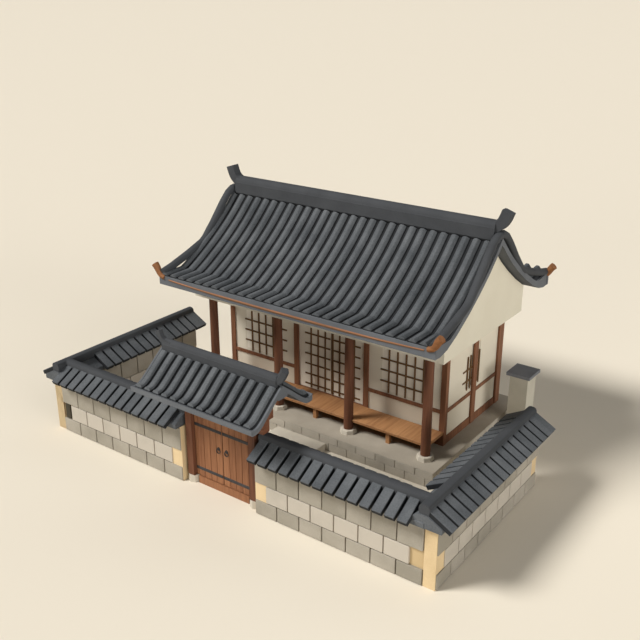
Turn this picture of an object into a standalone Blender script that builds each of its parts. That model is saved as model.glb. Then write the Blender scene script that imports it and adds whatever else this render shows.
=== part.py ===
# Hanok house in a walled courtyard with a roofed gate.
# Metres, X to the right along the front, Y to the back, Z up, ground at z = 0.
# The object is centred on X = 0 and its depth is centred on Y = 0.
import bpy
import bmesh
from math import cos, radians, sin

for old in list(bpy.data.objects):
    bpy.data.objects.remove(old, do_unlink=True)

# Driving sizes
frontY = -3.878          # outer face of the front courtyard wall
fit = 0.0003             # gap between pieces that touch
bay = 2.19               # column spacing of the house
colX = [-1.5 * bay, -0.5 * bay, 0.5 * bay, 1.5 * bay]
colY = frontY + 3.612    # front column row
wallY = frontY + 4.42    # centre of the house front wall
rearY = frontY + 7.26    # centre of the house rear wall
midY = (colY + rearY) / 2
postW = 0.14             # square wall posts
colR = 0.12              # round porch columns
baseTop = 0.42           # stone platform top
floorTop = 0.80          # porch and room floor
bodyZ = 3.04             # underside of the roof base
baseX = 3.78             # platform half length
baseFront = frontY + 3.12
baseRear = 2 * midY - baseFront
gableX = 3.74            # outer face of the gables
roofX = 3.99             # roof half length
roofThick = 0.20
plateFront = frontY + 3.41
plateRear = 2 * midY - plateFront
# top surface of the roof slab: distance from the ridge line, height
slope = [(0.0, 5.49), (0.19, 5.30), (0.58, 4.93), (1.01, 4.59), (1.48, 4.26),
         (1.99, 3.95), (2.46, 3.745), (2.70, 3.71), (2.94, 3.735)]
wallZ = 1.42             # top of the courtyard walls
wallT = 0.576
yardX = 5.607            # outer face of the side courtyard walls
yardEnd = frontY + 4.674
gateX = 1.10             # courtyard wall ends beside the gate
gatePostX = 0.936
gateY = frontY + 0.24    # centre of the gate posts

root = bpy.data.collections.new("hanok_house")
bpy.context.scene.collection.children.link(root)
cutters = bpy.data.collections.new("cutters")
bpy.context.scene.collection.children.link(cutters)

looks = {
    "stone": ((0.42, 0.38, 0.31), 0.85, 0.0),
    "pale_stone": ((0.62, 0.57, 0.48), 0.8, 0.0),
    "timber": ((0.16, 0.06, 0.03), 0.6, 0.0),
    "orange_wood": ((0.45, 0.19, 0.07), 0.6, 0.0),
    "deck_wood": ((0.48, 0.22, 0.08), 0.6, 0.0),
    "plaster": ((0.68, 0.62, 0.50), 0.9, 0.0),
    "paper": ((0.72, 0.68, 0.58), 0.9, 0.0),
    "tile": ((0.07, 0.075, 0.085), 0.7, 0.0),
}


def paint(obj, look):
    colour, rough, metal = looks[look]
    mat = bpy.data.materials.new(obj.name)
    mat.use_nodes = True
    shader = mat.node_tree.nodes["Principled BSDF"]
    shader.inputs["Base Color"].default_value = (*colour, 1.0)
    shader.inputs["Roughness"].default_value = rough
    shader.inputs["Metallic"].default_value = metal
    obj.data.materials.append(mat)


def finish(name, bm, look, at=(0.0, 0.0, 0.0)):
    # look None makes a helper shape for a boolean
    bmesh.ops.recalc_face_normals(bm, faces=bm.faces[:])
    mesh = bpy.data.meshes.new(name)
    bm.to_mesh(mesh)
    bm.free()
    obj = bpy.data.objects.new(name, mesh)
    obj.location = at
    if look is None:
        cutters.objects.link(obj)
        obj.hide_render = True
        obj.display_type = "WIRE"
    else:
        root.objects.link(obj)
        paint(obj, look)
    return obj


def boxShape(size, centre=(0.0, 0.0, 0.0)):
    bm = bmesh.new()
    bmesh.ops.create_cube(bm, size=1.0)
    bmesh.ops.scale(bm, vec=size, verts=bm.verts[:])
    bmesh.ops.translate(bm, vec=centre, verts=bm.verts[:])
    return bm


def block(name, x, y, z, look, bevel=0.0):
    # box between the given limits on each axis, its origin at its centre
    size = (x[1] - x[0], y[1] - y[0], z[1] - z[0])
    at = ((x[0] + x[1]) / 2, (y[0] + y[1]) / 2, (z[0] + z[1]) / 2)
    bm = boxShape(size)
    if bevel:
        bmesh.ops.bevel(bm, geom=bm.edges[:], offset=bevel, segments=1, affect="EDGES", profile=0.5)
    return finish(name, bm, look, at)


def outline(points, axis, low, high):
    # closed outline pushed along X or Y between low and high
    bm = bmesh.new()
    ring = []
    for a, b in points:
        co = (low, a, b) if axis == "X" else (a, low, b)
        ring.append(bmesh.ops.create_vert(bm, co=co)["vert"][0])
    for i, vert in enumerate(ring):
        bm.edges.new((vert, ring[(i + 1) % len(ring)]))
    bmesh.ops.contextual_create(bm, geom=bm.edges[:])
    push = bmesh.ops.extrude_face_region(bm, geom=bm.faces[:])
    moved = [g for g in push["geom"] if isinstance(g, bmesh.types.BMVert)]
    way = (high - low, 0.0, 0.0) if axis == "X" else (0.0, high - low, 0.0)
    bmesh.ops.translate(bm, vec=way, verts=moved)
    return bm


def drum(name, radius, topRadius, z, look, at, sides=24):
    bm = bmesh.new()
    bmesh.ops.create_cone(bm, cap_ends=True, segments=sides, radius1=radius, radius2=topRadius,
                          depth=z[1] - z[0])
    return finish(name, bm, look, (at[0], at[1], (z[0] + z[1]) / 2))


def combine(obj, others, how):
    for other in others:
        mod = obj.modifiers.new(other.name, "BOOLEAN")
        mod.operation = how
        mod.solver = "EXACT"
        mod.object = other
    return obj


# Stone platform with the four plinth stones standing on it
platform = block("platform", (-baseX, baseX), (baseFront, baseRear), (0.0, baseTop), "stone")
plinthH = 0.07
plinths = [drum("plinth_%d" % i, 0.19, 0.165, (baseTop - 0.05, baseTop + plinthH), None,
                (x, colY), 12) for i, x in enumerate(colX)]
combine(platform, plinths, "UNION")
block("step_stone", (-0.76, 0.76), (baseFront - 0.38, baseFront - fit), (0.0, 0.20), "pale_stone")

for i, x in enumerate(colX):
    drum("front_column_%d" % (i + 1), colR, colR * 0.92, (baseTop + plinthH + fit, bodyZ - fit),
         "timber", (x, colY))

# Porch deck on short legs, notched round the columns
deckX = 1.5 * bay + 0.05
deckFront = colY - 0.01
deckRear = wallY - postW / 2 - fit
deck = block("porch_deck", (-deckX, deckX), (deckFront, deckRear), (floorTop - 0.07, floorTop),
             "deck_wood")
legs = []
for i, x in enumerate((-bay, 0.0, bay)):
    legs.append(block("leg_%d" % i, (x - 0.05, x + 0.05), (deckFront + 0.08, deckFront + 0.18),
                      (baseTop + fit, floorTop - 0.03), None))
    legs.append(block("leg_back_%d" % i, (x - 0.05, x + 0.05), (deckRear - 0.10, deckRear - 0.02),
                      (baseTop + fit, floorTop - 0.03), None))
combine(deck, legs, "UNION")
notches = [drum("notch_%d" % i, colR + fit, colR + fit, (0.6, 1.0), None, (x, colY))
           for i, x in enumerate(colX)]
combine(deck, notches, "DIFFERENCE")

# Timber frames: corner and bay posts, sills, rails and head beams
halfP = postW / 2
endX = 1.5 * bay + halfP
topZ = bodyZ - fit
sillZ = (baseTop + fit, 0.62)
headZ = (2.76, topZ)
railZ = (1.26, 1.35)


def frameOf(name, posts, rails):
    # first bar carries the others by boolean union
    bars = posts + rails
    body = block(name, *bars[0], "timber")
    extra = [block("%s_bar_%d" % (name, i), *bar, None) for i, bar in enumerate(bars[1:])]
    return combine(body, extra, "UNION")


def bayPosts(y):
    return [((x - halfP, x + halfP), (y - halfP, y + halfP), (baseTop + fit, topZ)) for x in colX]


frontFace = wallY - halfP
panelY = (wallY - 0.03, wallY + 0.05)
rails = [((-endX + 0.01, endX - 0.01), (wallY - halfP + 0.01, wallY + halfP - 0.01), headZ),
         ((-endX + 0.01, endX - 0.01), (wallY - halfP + 0.01, wallY + halfP - 0.01), sillZ)]
rails.append(((-0.5 * bay, 0.5 * bay), (frontFace + fit, wallY + halfP), (0.60, floorTop)))
for side in (-1, 1):
    span = sorted((side * (0.5 * bay), side * (1.5 * bay)))
    rails.append(((span[0], span[1]), (wallY - 0.06, panelY[0] - fit), railZ))
frameOf("front_frame", bayPosts(wallY), rails)

rearPanelY = (rearY - 0.05, rearY + 0.03)
rearPosts = bayPosts(rearY)
for i in (1, 2):
    rearPosts[i] = (rearPosts[i][0], (rearPanelY[1] + fit, rearY + halfP), rearPosts[i][2])
rails = [((-endX + 0.01, endX - 0.01), (rearY - halfP + 0.01, rearY + halfP - 0.01), headZ),
         ((-endX + 0.01, endX - 0.01), (rearY - halfP + 0.01, rearY + halfP - 0.01), sillZ),
         ((-endX + 0.08, endX - 0.08), (rearPanelY[1] + fit, rearY + 0.06), railZ)]
frameOf("rear_frame", rearPosts, rails)

sideY = (wallY + halfP + fit, rearY - halfP - fit)
sideMid = (wallY + rearY) / 2
sideWallX = (1.5 * bay - 0.05, 1.5 * bay + 0.03)
for side, tag in ((-1, "left"), (1, "right")):
    centre = side * 1.5 * bay
    post = (tuple(sorted((centre + side * (0.03 + fit), centre + side * halfP))),
            (sideMid - halfP, sideMid + halfP), (baseTop + fit, topZ))
    full = tuple(sorted((centre - side * halfP + side * 0.01, centre + side * halfP - side * 0.01)))
    thin = tuple(sorted((centre + side * (0.03 + fit), centre + side * 0.06)))
    bars = [(full, sideY, sillZ), (full, sideY, headZ), (thin, sideY, railZ)]
    frameOf("%s_frame" % tag, [post], bars)

# Plaster walls between sill and head beam, with their window openings
panelZ = (sillZ[1] + fit, headZ[0] - fit)
winX = 0.64
winZ = (1.42, 2.66)
for side, tag in ((-1, "left"), (1, "right")):
    centre = side * bay
    span = (centre - bay / 2 + halfP + fit, centre + bay / 2 - halfP - fit)
    wall = block("front_%s_wall" % tag, span, panelY, panelZ, "plaster")
    hole = block("front_%s_hole" % tag, (centre - winX, centre + winX),
                 (panelY[0] - 0.1, panelY[1] + 0.1), winZ, None)
    combine(wall, [hole], "DIFFERENCE")
    block("front_%s_window" % tag, (centre - winX + fit, centre + winX - fit),
          (wallY - 0.022, wallY + 0.022), (winZ[0] + fit, winZ[1] - fit), "paper")

sideWinY = (sideMid - 0.44, sideMid + 0.28)
sideWinZ = (1.50, 2.66)
for side, tag in ((-1, "left"), (1, "right")):
    centre = side * 1.5 * bay
    span = tuple(sorted((centre - side * 0.05, centre + side * 0.03)))
    wall = block("%s_wall" % tag, span, (sideY[0], sideY[1]), panelZ, "plaster")
    hole = block("%s_hole" % tag, (span[0] - 0.1, span[1] + 0.1), sideWinY, sideWinZ, None)
    combine(wall, [hole], "DIFFERENCE")
    pane = tuple(sorted((centre - side * 0.025, centre + side * 0.015)))
    block("%s_window" % tag, pane, (sideWinY[0] + fit, sideWinY[1] - fit),
          (sideWinZ[0] + fit, sideWinZ[1] - fit), "paper")

rearWall = block("rear_wall", (-endX + postW + fit, endX - postW - fit), rearPanelY, panelZ, "plaster")

block("room_floor", (-endX + postW + fit, endX - postW - fit),
      (wallY + halfP + fit, rearY - halfP - fit), (baseTop + fit, floorTop), "deck_wood")

# Door leaves of the middle bay
doorEdge = 0.5 * bay - halfP - 0.006
doorW = doorEdge - 0.0045
doorT = 0.04
doorZ = (floorTop + 0.012, headZ[0] - 0.008)
for side, tag in ((-1, "left"), (1, "right")):
    hinge = (side * doorEdge, wallY - 0.02, 0.0)
    bm = boxShape((doorW, doorT, doorZ[1] - doorZ[0]),
                  (-side * doorW / 2, doorT / 2, (doorZ[0] + doorZ[1]) / 2))
    finish("house_door_%s" % tag, bm, "paper", hinge)

# Roof base: the flat soffit with an upstand under each slope
roofBase = block("roof_base", (-gableX + 0.10 + fit, gableX - 0.10 - fit), (plateFront, plateRear),
             (bodyZ, bodyZ + 0.06), "plaster")


def top(d):
    # height of the slab's top surface at a distance from the ridge line
    for (a, za), (b, zb) in zip(slope, slope[1:]):
        if d <= b:
            return za + (zb - za) * (d - a) / (b - a)
    return slope[-1][1]


edgeD = midY - plateFront
upstands = []
for side, tag in ((-1, "front"), (1, "rear")):
    outer = midY + side * edgeD
    inner = midY + side * (edgeD - 0.10)
    shape = outline([(outer, bodyZ + 0.0), (outer, top(edgeD) - roofThick - 0.004),
                     (inner, top(edgeD) - roofThick - 0.004), (inner, bodyZ + 0.0)],
                    "X", -gableX + 0.10 + fit, gableX - 0.10 - fit)
    upstands.append(finish("upstand_%s" % tag, shape, None))
combine(roofBase, upstands, "UNION")

# Gables close the roof ends
for side, tag in ((-1, "left"), (1, "right")):
    pts = [(midY - edgeD, bodyZ), (midY + edgeD, bodyZ)]
    steps = [d for d, z in reversed(slope) if 0 < d < edgeD]
    under = roofThick + 0.006
    pts.append((midY + edgeD, top(edgeD) - under))
    pts += [(midY + d, top(d) - under) for d in steps]
    pts.append((midY, top(0.0) - under - 0.06))
    pts += [(midY - d, top(d) - under) for d in reversed(steps)]
    pts.append((midY - edgeD, top(edgeD) - under))
    low, high = sorted((side * (gableX - 0.10), side * gableX))
    finish("%s_gable" % tag, outline(pts, "X", low, high), "plaster")


# Roof slopes, each a bent slab with tile ribs running from the ridge to the eave
ribPitch = 0.285
ribCount = 27
ribShape = [(0.102, -0.02), (0.054, 0.092), (-0.054, 0.092), (-0.102, -0.02)]
ribStart = 0.175
ribEnd = 2.935


def tileRibs(name, side):
    # one closed rib for each column of round tiles
    run = [(ribStart, top(ribStart))] + [(d, z) for d, z in slope if 0.2 < d < ribEnd] + [(ribEnd, top(ribEnd))]
    bm = bmesh.new()
    for i in range(ribCount):
        x = (i - (ribCount - 1) / 2) * ribPitch
        ring = [bmesh.ops.create_vert(bm, co=(x + a, midY + side * run[0][0], run[0][1] + b))["vert"][0]
                for a, b in ribShape]
        first = [bm.edges.new((v, ring[(k + 1) % len(ring)])) for k, v in enumerate(ring)]
        last = first
        for (d0, z0), (d1, z1) in zip(run, run[1:]):
            grown = bmesh.ops.extrude_edge_only(bm, edges=last)["geom"]
            moved = [g for g in grown if isinstance(g, bmesh.types.BMVert)]
            last = [g for g in grown if isinstance(g, bmesh.types.BMEdge)]
            bmesh.ops.translate(bm, vec=(0.0, side * (d1 - d0), z1 - z0), verts=moved)
        bmesh.ops.edgeloop_fill(bm, edges=first)
        bmesh.ops.edgeloop_fill(bm, edges=last)
    return finish(name, bm, None)


for side, tag in ((-1, "front"), (1, "rear")):
    upper = [(midY + side * max(d, fit), z) for d, z in slope]
    lower = [(y, z - roofThick) for y, z in reversed(upper)]
    slab = finish("%s_roof" % tag, outline(upper + lower, "X", -roofX, roofX), "tile")
    combine(slab, [tileRibs("%s_ribs" % tag, side)], "UNION")

# Main ridge with an upturned horn at each end
ridgeX = 3.84
pts = [(midY - 0.17, 5.25), (midY - 0.17, 5.74)]
pts += [(midY - 0.17 * cos(radians(a)), 5.74 + 0.15 * sin(radians(a))) for a in (30, 60, 90, 120, 150)]
pts += [(midY + 0.17, 5.74), (midY + 0.17, 5.25)]
ridge = finish("main_ridge", outline(pts, "X", -ridgeX, ridgeX), "tile")
horns = []
for side, tag in ((-1, "left"), (1, "right")):
    pts = [(side * 3.60, 5.60), (side * 3.60, 5.84), (side * 3.86, 5.95), (side * 3.96, 6.16),
           (side * 4.16, 6.12), (side * 4.06, 5.86), (side * 3.82, 5.62)]
    horns.append(finish("horn_%s" % tag, outline(pts, "Y", midY - 0.10, midY + 0.10), None))
combine(ridge, horns, "UNION")
pts = [(midY - d, z + fit) for d, z in reversed(slope)] + [(midY + d, z + fit) for d, z in slope[1:]]
pts += [(midY + 2.94, 2.0), (midY - 2.94, 2.0)]
bed = finish("ridge_bed", outline(pts, "X", -roofX - 0.3, roofX + 0.3), None)
combine(ridge, [bed], "DIFFERENCE")

# Rake ridges along the roof ends, each with a horn that leans out at the eave corner
rakeX = (3.812, 3.985)
for side, tag in ((-1, "front"), (1, "rear")):
    for hand, name in ((-1, "left"), (1, "right")):
        run = [(d, z) for d, z in slope if d > 0.18]
        upper = [(midY + side * d, z + 0.24) for d, z in run]
        lower = [(midY + side * d, z + fit) for d, z in run]
        tip = midY + side * 2.94
        nose = [(tip + side * 0.12, slope[-1][1] + 0.22), (tip + side * 0.12, slope[-1][1] + 0.06)]
        low, high = sorted((hand * rakeX[0], hand * rakeX[1]))
        body = finish("rake_%s_%s" % (tag, name), outline(upper + nose + lower[::-1], "X", low, high), "tile")
        lean = [(hand * 3.90, 3.76), (hand * 3.90, 3.90), (hand * 4.05, 4.09), (hand * 4.17, 4.03),
                (hand * 4.08, 3.80)]
        low, high = sorted((tip + side * 0.02, tip + side * 0.16))
        combine(body, [finish("lean_%s_%s" % (tag, name), outline(lean, "Y", low, high), None)], "UNION")

# Thin painted board along each eave
for side, tag in ((-1, "front"), (1, "rear")):
    face = midY + side * (2.94 + fit)
    out = face + side * 0.02
    y = tuple(sorted((face, out)))
    block("eave_board_%s" % tag, (-3.80, 3.80), y, (3.60, 3.635), "orange_wood")

# Chimney beside the platform
chimX = (4.02, 4.50)
chimY = (frontY + 6.45, frontY + 6.94)
block("chimney_shaft", chimX, chimY, (0.0, 1.72), "plaster")
block("chimney_cap", (chimX[0] - 0.07, chimX[1] + 0.07), (chimY[0] - 0.08, chimY[1] + 0.08),
      (1.72 + fit, 1.80), "tile")


# Courtyard walls and their tiled caps, an L on each side of the gate
def yardWall(name, hand):
    bm = bmesh.new()
    inX = yardX - wallT
    inY = frontY + wallT
    pts = [(gateX, frontY), (yardX, frontY), (yardX, yardEnd), (inX, yardEnd), (inX, inY), (gateX, inY)]
    ring = [bmesh.ops.create_vert(bm, co=(hand * x, y, 0.0))["vert"][0] for x, y in pts]
    for i, vert in enumerate(ring):
        bm.edges.new((vert, ring[(i + 1) % len(ring)]))
    bmesh.ops.contextual_create(bm, geom=bm.edges[:])
    push = bmesh.ops.extrude_face_region(bm, geom=bm.faces[:])
    moved = [g for g in push["geom"] if isinstance(g, bmesh.types.BMVert)]
    bmesh.ops.translate(bm, vec=(0.0, 0.0, wallZ), verts=moved)
    return finish(name, bm, "pale_stone")


# half of the cap's section: distance from the wall's centre line, height
capHalf = [(0.564, wallZ + fit), (0.564, 1.48), (0.10, 1.76), (0.10, 1.86), (0.07, 1.90), (0.0, 1.92)]


def capSection(middle):
    right = [(middle + o, h) for o, h in capHalf]
    left = [(middle - o, h) for o, h in reversed(capHalf[:-1])]
    return right + left


capX = yardX - wallT / 2
capY = frontY + wallT / 2
for hand, tag in ((-1, "left"), (1, "right")):
    yardWall("%s_yard_wall" % tag, hand)
    # the side run crosses the front run at the corner
    low, high = sorted((hand * gateX, hand * capX))
    cap = finish("%s_wall_cap" % tag, outline(capSection(capY), "X", low, high), "tile")
    sideRun = finish("%s_side_run" % tag, outline(capSection(hand * capX), "Y", frontY - 0.10,
                                                  yardEnd + 0.126), None)
    combine(cap, [sideRun], "UNION")

# Gate
gatePostW = 0.18
gatePostD = 0.24
gateStoneZ = 0.19
gateTopZ = 1.95          # top of the posts
inner = gatePostX - gatePostW / 2
for hand, tag in ((-1, "left"), (1, "right")):
    x = hand * gatePostX
    drum("gate_stone_%s" % tag, 0.155, 0.145, (0.0, gateStoneZ), "pale_stone", (x, gateY), 8)
    block("gate_post_%s" % tag, (x - gatePostW / 2, x + gatePostW / 2),
          (gateY - gatePostD / 2, gateY + gatePostD / 2), (gateStoneZ + fit, gateTopZ), "timber")
block("gate_threshold", (-0.76, 0.76), (gateY - 0.05, gateY + 0.05), (0.0, gateStoneZ), "orange_wood")
block("gate_lintel", (-1.27, 1.27), (gateY - 0.11, gateY + 0.11), (gateTopZ + fit, 2.28), "timber")
leafT = 0.05
leafZ = (gateStoneZ + 0.012, gateTopZ - 0.008)
for side, tag in ((-1, "left"), (1, "right")):
    hinge = (side * (inner - 0.006), gateY + leafT / 2, 0.0)
    leafW = inner - 0.006 - 0.0045
    bm = boxShape((leafW, leafT, leafZ[1] - leafZ[0]),
                  (-side * leafW / 2, -leafT / 2, (leafZ[0] + leafZ[1]) / 2))
    finish("gate_leaf_%s" % tag, bm, "orange_wood", hinge)

# gate roof: distance from the gate's centre line, top and underside heights
gateRoofX = 1.74
gateSlope = [(0.0, 3.035, 2.915), (0.24, 2.91, 2.79), (0.44, 2.785, 2.65), (0.60, 2.65, 2.545),
             (0.73, 2.57, 2.48), (0.90, 2.54, 2.46), (1.02, 2.57, 2.47)]
upper = [(gateY - d, z) for d, z, u in reversed(gateSlope)] + [(gateY + d, z) for d, z, u in gateSlope[1:]]
under = [(gateY + d, u) for d, z, u in reversed(gateSlope)] + [(gateY - d, u) for d, z, u in gateSlope[1:]]
finish("gate_roof", outline(upper + under, "X", -gateRoofX, gateRoofX), "tile")

# Beam that carries the gate's roof, over the lintel
pts = [(gateY - 0.16, 2.28 + fit), (gateY + 0.16, 2.28 + fit), (gateY + 0.16, 2.829),
       (gateY, 2.912), (gateY - 0.16, 2.829)]
finish("gate_roof_beam", outline(pts, "X", -1.34, 1.34), "timber")

pts = [(gateY - 0.11, 2.9), (gateY - 0.11, 3.26), (gateY - 0.08, 3.34), (gateY, 3.365),
       (gateY + 0.08, 3.34), (gateY + 0.11, 3.26), (gateY + 0.11, 2.9)]
gateRidge = finish("gate_ridge", outline(pts, "X", -1.64, 1.64), "tile")
horns = []
for side, tag in ((-1, "left"), (1, "right")):
    pts = [(side * 1.52, 3.12), (side * 1.52, 3.30), (side * 1.68, 3.42), (side * 1.80, 3.66),
           (side * 1.96, 3.60), (side * 1.84, 3.34), (side * 1.64, 3.12)]
    horns.append(finish("gate_horn_%s" % tag, outline(pts, "Y", gateY - 0.07, gateY + 0.07), None))
combine(gateRidge, horns, "UNION")
bed = [(y, z + fit) for y, z in upper] + [(gateY + 1.02, 2.0), (gateY - 1.02, 2.0)]
combine(gateRidge, [finish("gate_bed", outline(bed, "X", -2.2, 2.2), None)], "DIFFERENCE")
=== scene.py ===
# Looks of the hanok house: tiles, ridges, stones, timber, lattices, plaster, camera and light.
# Metres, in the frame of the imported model: X along the front, Y to the back, Z up.
import random
from math import atan2, cos, pi, radians, sin, sqrt

import bmesh
import bpy
from mathutils import Matrix, Vector


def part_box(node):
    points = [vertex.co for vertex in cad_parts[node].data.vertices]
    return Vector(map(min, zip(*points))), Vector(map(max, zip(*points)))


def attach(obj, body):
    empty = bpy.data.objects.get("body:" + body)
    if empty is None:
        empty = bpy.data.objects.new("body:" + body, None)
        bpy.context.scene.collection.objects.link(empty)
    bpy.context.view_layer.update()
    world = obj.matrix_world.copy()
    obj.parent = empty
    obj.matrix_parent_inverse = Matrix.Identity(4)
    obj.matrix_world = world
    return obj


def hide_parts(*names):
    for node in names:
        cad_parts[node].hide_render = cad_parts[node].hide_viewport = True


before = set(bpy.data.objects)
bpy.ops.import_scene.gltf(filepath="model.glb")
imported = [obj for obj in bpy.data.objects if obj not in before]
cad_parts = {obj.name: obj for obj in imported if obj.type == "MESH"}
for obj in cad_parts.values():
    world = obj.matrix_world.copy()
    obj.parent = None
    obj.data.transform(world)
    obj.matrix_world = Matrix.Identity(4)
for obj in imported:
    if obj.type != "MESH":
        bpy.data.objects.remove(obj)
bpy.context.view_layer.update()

print("frame loaded")

# Places read from the frame
roofLow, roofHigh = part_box("front_roof")
midY = roofHigh.y
gateLow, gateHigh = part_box("gate_roof")
gateY = (gateLow.y + gateHigh.y) / 2
wallLow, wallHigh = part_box("right_yard_wall")
frontY = wallLow.y
platLow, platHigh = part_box("platform")


def toLinear(*rgb):
    # 0 to 255 screen colour to the renderer's linear one
    return tuple(pow((c / 255 + 0.055) / 1.055, 2.4) if c > 10 else c / 255 / 12.92 for c in rgb) + (1.0,)


# Shader node groups

def makeGroup(name, inputs, outputs):
    tree = bpy.data.node_groups.new(name, "ShaderNodeTree")
    for label, kind, value in inputs:
        socket = tree.interface.new_socket(name=label, in_out="INPUT", socket_type=kind)
        if value is not None:
            socket.default_value = value
    for label, kind in outputs:
        tree.interface.new_socket(name=label, in_out="OUTPUT", socket_type=kind)
    return tree, tree.nodes.new("NodeGroupInput"), tree.nodes.new("NodeGroupOutput")


def addNode(tree, kind, links=None, **values):
    node = tree.nodes.new(kind)
    for key, value in values.items():
        setattr(node, key, value)
    for socket, source in (links or {}).items():
        if hasattr(source, "is_output"):
            tree.links.new(source, node.inputs[socket])
        else:
            node.inputs[socket].default_value = source
    return node


def mottleGroup():
    # cloudy tone with fine speckle, for stone, clay and plaster
    tree, source, out = makeGroup("mottle", [("Vector", "NodeSocketVector", None),
                                             ("Cloud Scale", "NodeSocketFloat", 1.5),
                                             ("Speck Scale", "NodeSocketFloat", 60.0),
                                             ("Speck Share", "NodeSocketFloat", 0.4)],
                                  [("Tone", "NodeSocketFloat"), ("Height", "NodeSocketFloat")])
    cloud = addNode(tree, "ShaderNodeTexNoise", {"Vector": source.outputs["Vector"], "Detail": 4.0,
                                                 "Scale": source.outputs["Cloud Scale"]})
    speck = addNode(tree, "ShaderNodeTexNoise", {"Vector": source.outputs["Vector"], "Detail": 6.0,
                                                 "Roughness": 0.7, "Scale": source.outputs["Speck Scale"]})
    mixed = addNode(tree, "ShaderNodeMix", {"Factor": source.outputs["Speck Share"], 2: cloud.outputs["Fac"],
                                            3: speck.outputs["Fac"]})
    tree.links.new(mixed.outputs[0], out.inputs["Tone"])
    tree.links.new(speck.outputs["Fac"], out.inputs["Height"])
    return tree


def grainGroup():
    # long wood fibres along the vector's X
    tree, source, out = makeGroup("woodGrain", [("Vector", "NodeSocketVector", None),
                                                ("Fibre Scale", "NodeSocketFloat", 18.0)],
                                  [("Tone", "NodeSocketFloat"), ("Height", "NodeSocketFloat")])
    squeeze = addNode(tree, "ShaderNodeVectorMath", {0: source.outputs["Vector"], 1: (0.06, 1.0, 1.0)},
                      operation="MULTIPLY")
    fibre = addNode(tree, "ShaderNodeTexNoise", {"Vector": squeeze.outputs[0], "Detail": 5.0,
                                                 "Roughness": 0.6, "Distortion": 0.4,
                                                 "Scale": source.outputs["Fibre Scale"]})
    broad = addNode(tree, "ShaderNodeTexNoise", {"Vector": squeeze.outputs[0], "Detail": 2.0, "Scale": 3.0})
    mixed = addNode(tree, "ShaderNodeMix", {"Factor": 0.35, 2: fibre.outputs["Fac"], 3: broad.outputs["Fac"]})
    tree.links.new(mixed.outputs[0], out.inputs["Tone"])
    tree.links.new(fibre.outputs["Fac"], out.inputs["Height"])
    return tree


mottle = mottleGroup()
woodGrain = grainGroup()


def newMaterial(name, rough):
    mat = bpy.data.materials.new(name)
    mat.use_nodes = True
    tree = mat.node_tree
    shader = tree.nodes["Principled BSDF"]
    shader.inputs["Roughness"].default_value = rough
    shader.inputs["Specular IOR Level"].default_value = 0.3
    return mat, tree, shader


def useTone(tree, shader, tone, height, low, high, bump, spread, middle=0.5):
    # colour between low and high by the pattern's tone plus the piece's own tone attribute
    own = addNode(tree, "ShaderNodeAttribute", attribute_name="tone")
    ramp = addNode(tree, "ShaderNodeMapRange", {"Value": tone, "From Min": middle - spread,
                                                "From Max": middle + spread})
    total = addNode(tree, "ShaderNodeMath", {0: ramp.outputs[0], 1: own.outputs["Fac"]}, operation="ADD",
                    use_clamp=True)
    colour = addNode(tree, "ShaderNodeMix", {"Factor": total.outputs[0], 6: low, 7: high},
                     data_type="RGBA")
    tree.links.new(colour.outputs[2], shader.inputs["Base Color"])
    lift = addNode(tree, "ShaderNodeBump", {"Height": height, "Strength": 1.0, "Distance": bump})
    tree.links.new(lift.outputs["Normal"], shader.inputs["Normal"])


def grittyMaterial(name, low, high, rough=0.85, bump=0.002, cloud=1.5, speck=60.0, share=0.4, spread=0.18):
    mat, tree, shader = newMaterial(name, rough)
    place = addNode(tree, "ShaderNodeTexCoord")
    look = addNode(tree, "ShaderNodeGroup", node_tree=mottle)
    tree.links.new(place.outputs["Object"], look.inputs["Vector"])
    look.inputs["Cloud Scale"].default_value = cloud
    look.inputs["Speck Scale"].default_value = speck
    look.inputs["Speck Share"].default_value = share
    useTone(tree, shader, look.outputs["Tone"], look.outputs["Height"], toLinear(*low), toLinear(*high),
            bump, spread)
    return mat


def woodMaterial(name, low, high, along="Z", rough=0.65, bump=0.0015, fibre=18.0, spread=0.2):
    mat, tree, shader = newMaterial(name, rough)
    place = addNode(tree, "ShaderNodeTexCoord")
    turn = {"X": (0, 0, 0), "Y": (0, 0, pi / 2), "Z": (0, pi / 2, 0)}[along]
    mapping = addNode(tree, "ShaderNodeMapping", {"Vector": place.outputs["Object"], "Rotation": turn})
    look = addNode(tree, "ShaderNodeGroup", node_tree=woodGrain)
    tree.links.new(mapping.outputs[0], look.inputs["Vector"])
    look.inputs["Fibre Scale"].default_value = fibre
    useTone(tree, shader, look.outputs["Tone"], look.outputs["Height"], toLinear(*low), toLinear(*high),
            bump, spread)
    return mat


ribClay = grittyMaterial("ribClay", (60, 64, 68), (102, 105, 108), speck=34.0, share=0.55)
# dark clay for the pans between the ribs and for the ribs' lower sides: painted shade in the gutters
panClay = grittyMaterial("panClay", (24, 26, 28), (38, 40, 43), speck=34.0, share=0.5)
ridgeClay = grittyMaterial("ridgeClay", (55, 57, 60), (66, 68, 71), speck=40.0, share=0.35, bump=0.001)
edgeClay = grittyMaterial("edgeClay", (86, 89, 93), (102, 105, 109), speck=30.0, share=0.35, bump=0.001)
capSlate = grittyMaterial("capSlate", (97, 99, 104), (115, 117, 122), speck=30.0, share=0.35, bump=0.001)
wallStone = grittyMaterial("wallStone", (141, 135, 122), (182, 174, 161), speck=45.0, share=0.3, spread=0.3)
mortar = grittyMaterial("mortar", (190, 166, 126), (214, 190, 150), speck=50.0, share=0.4)
platformStone = grittyMaterial("platformStone", (150, 142, 128), (173, 164, 149), speck=45.0, share=0.35)
platformFace = grittyMaterial("platformFace", (158, 151, 138), (188, 180, 166), speck=45.0, share=0.35)
paleStone = grittyMaterial("paleStone", (178, 170, 155), (202, 194, 179), speck=50.0, share=0.4)
plaster = grittyMaterial("plaster", (232, 227, 214), (242, 238, 226), cloud=0.8, share=0.25, bump=0.001)
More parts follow.
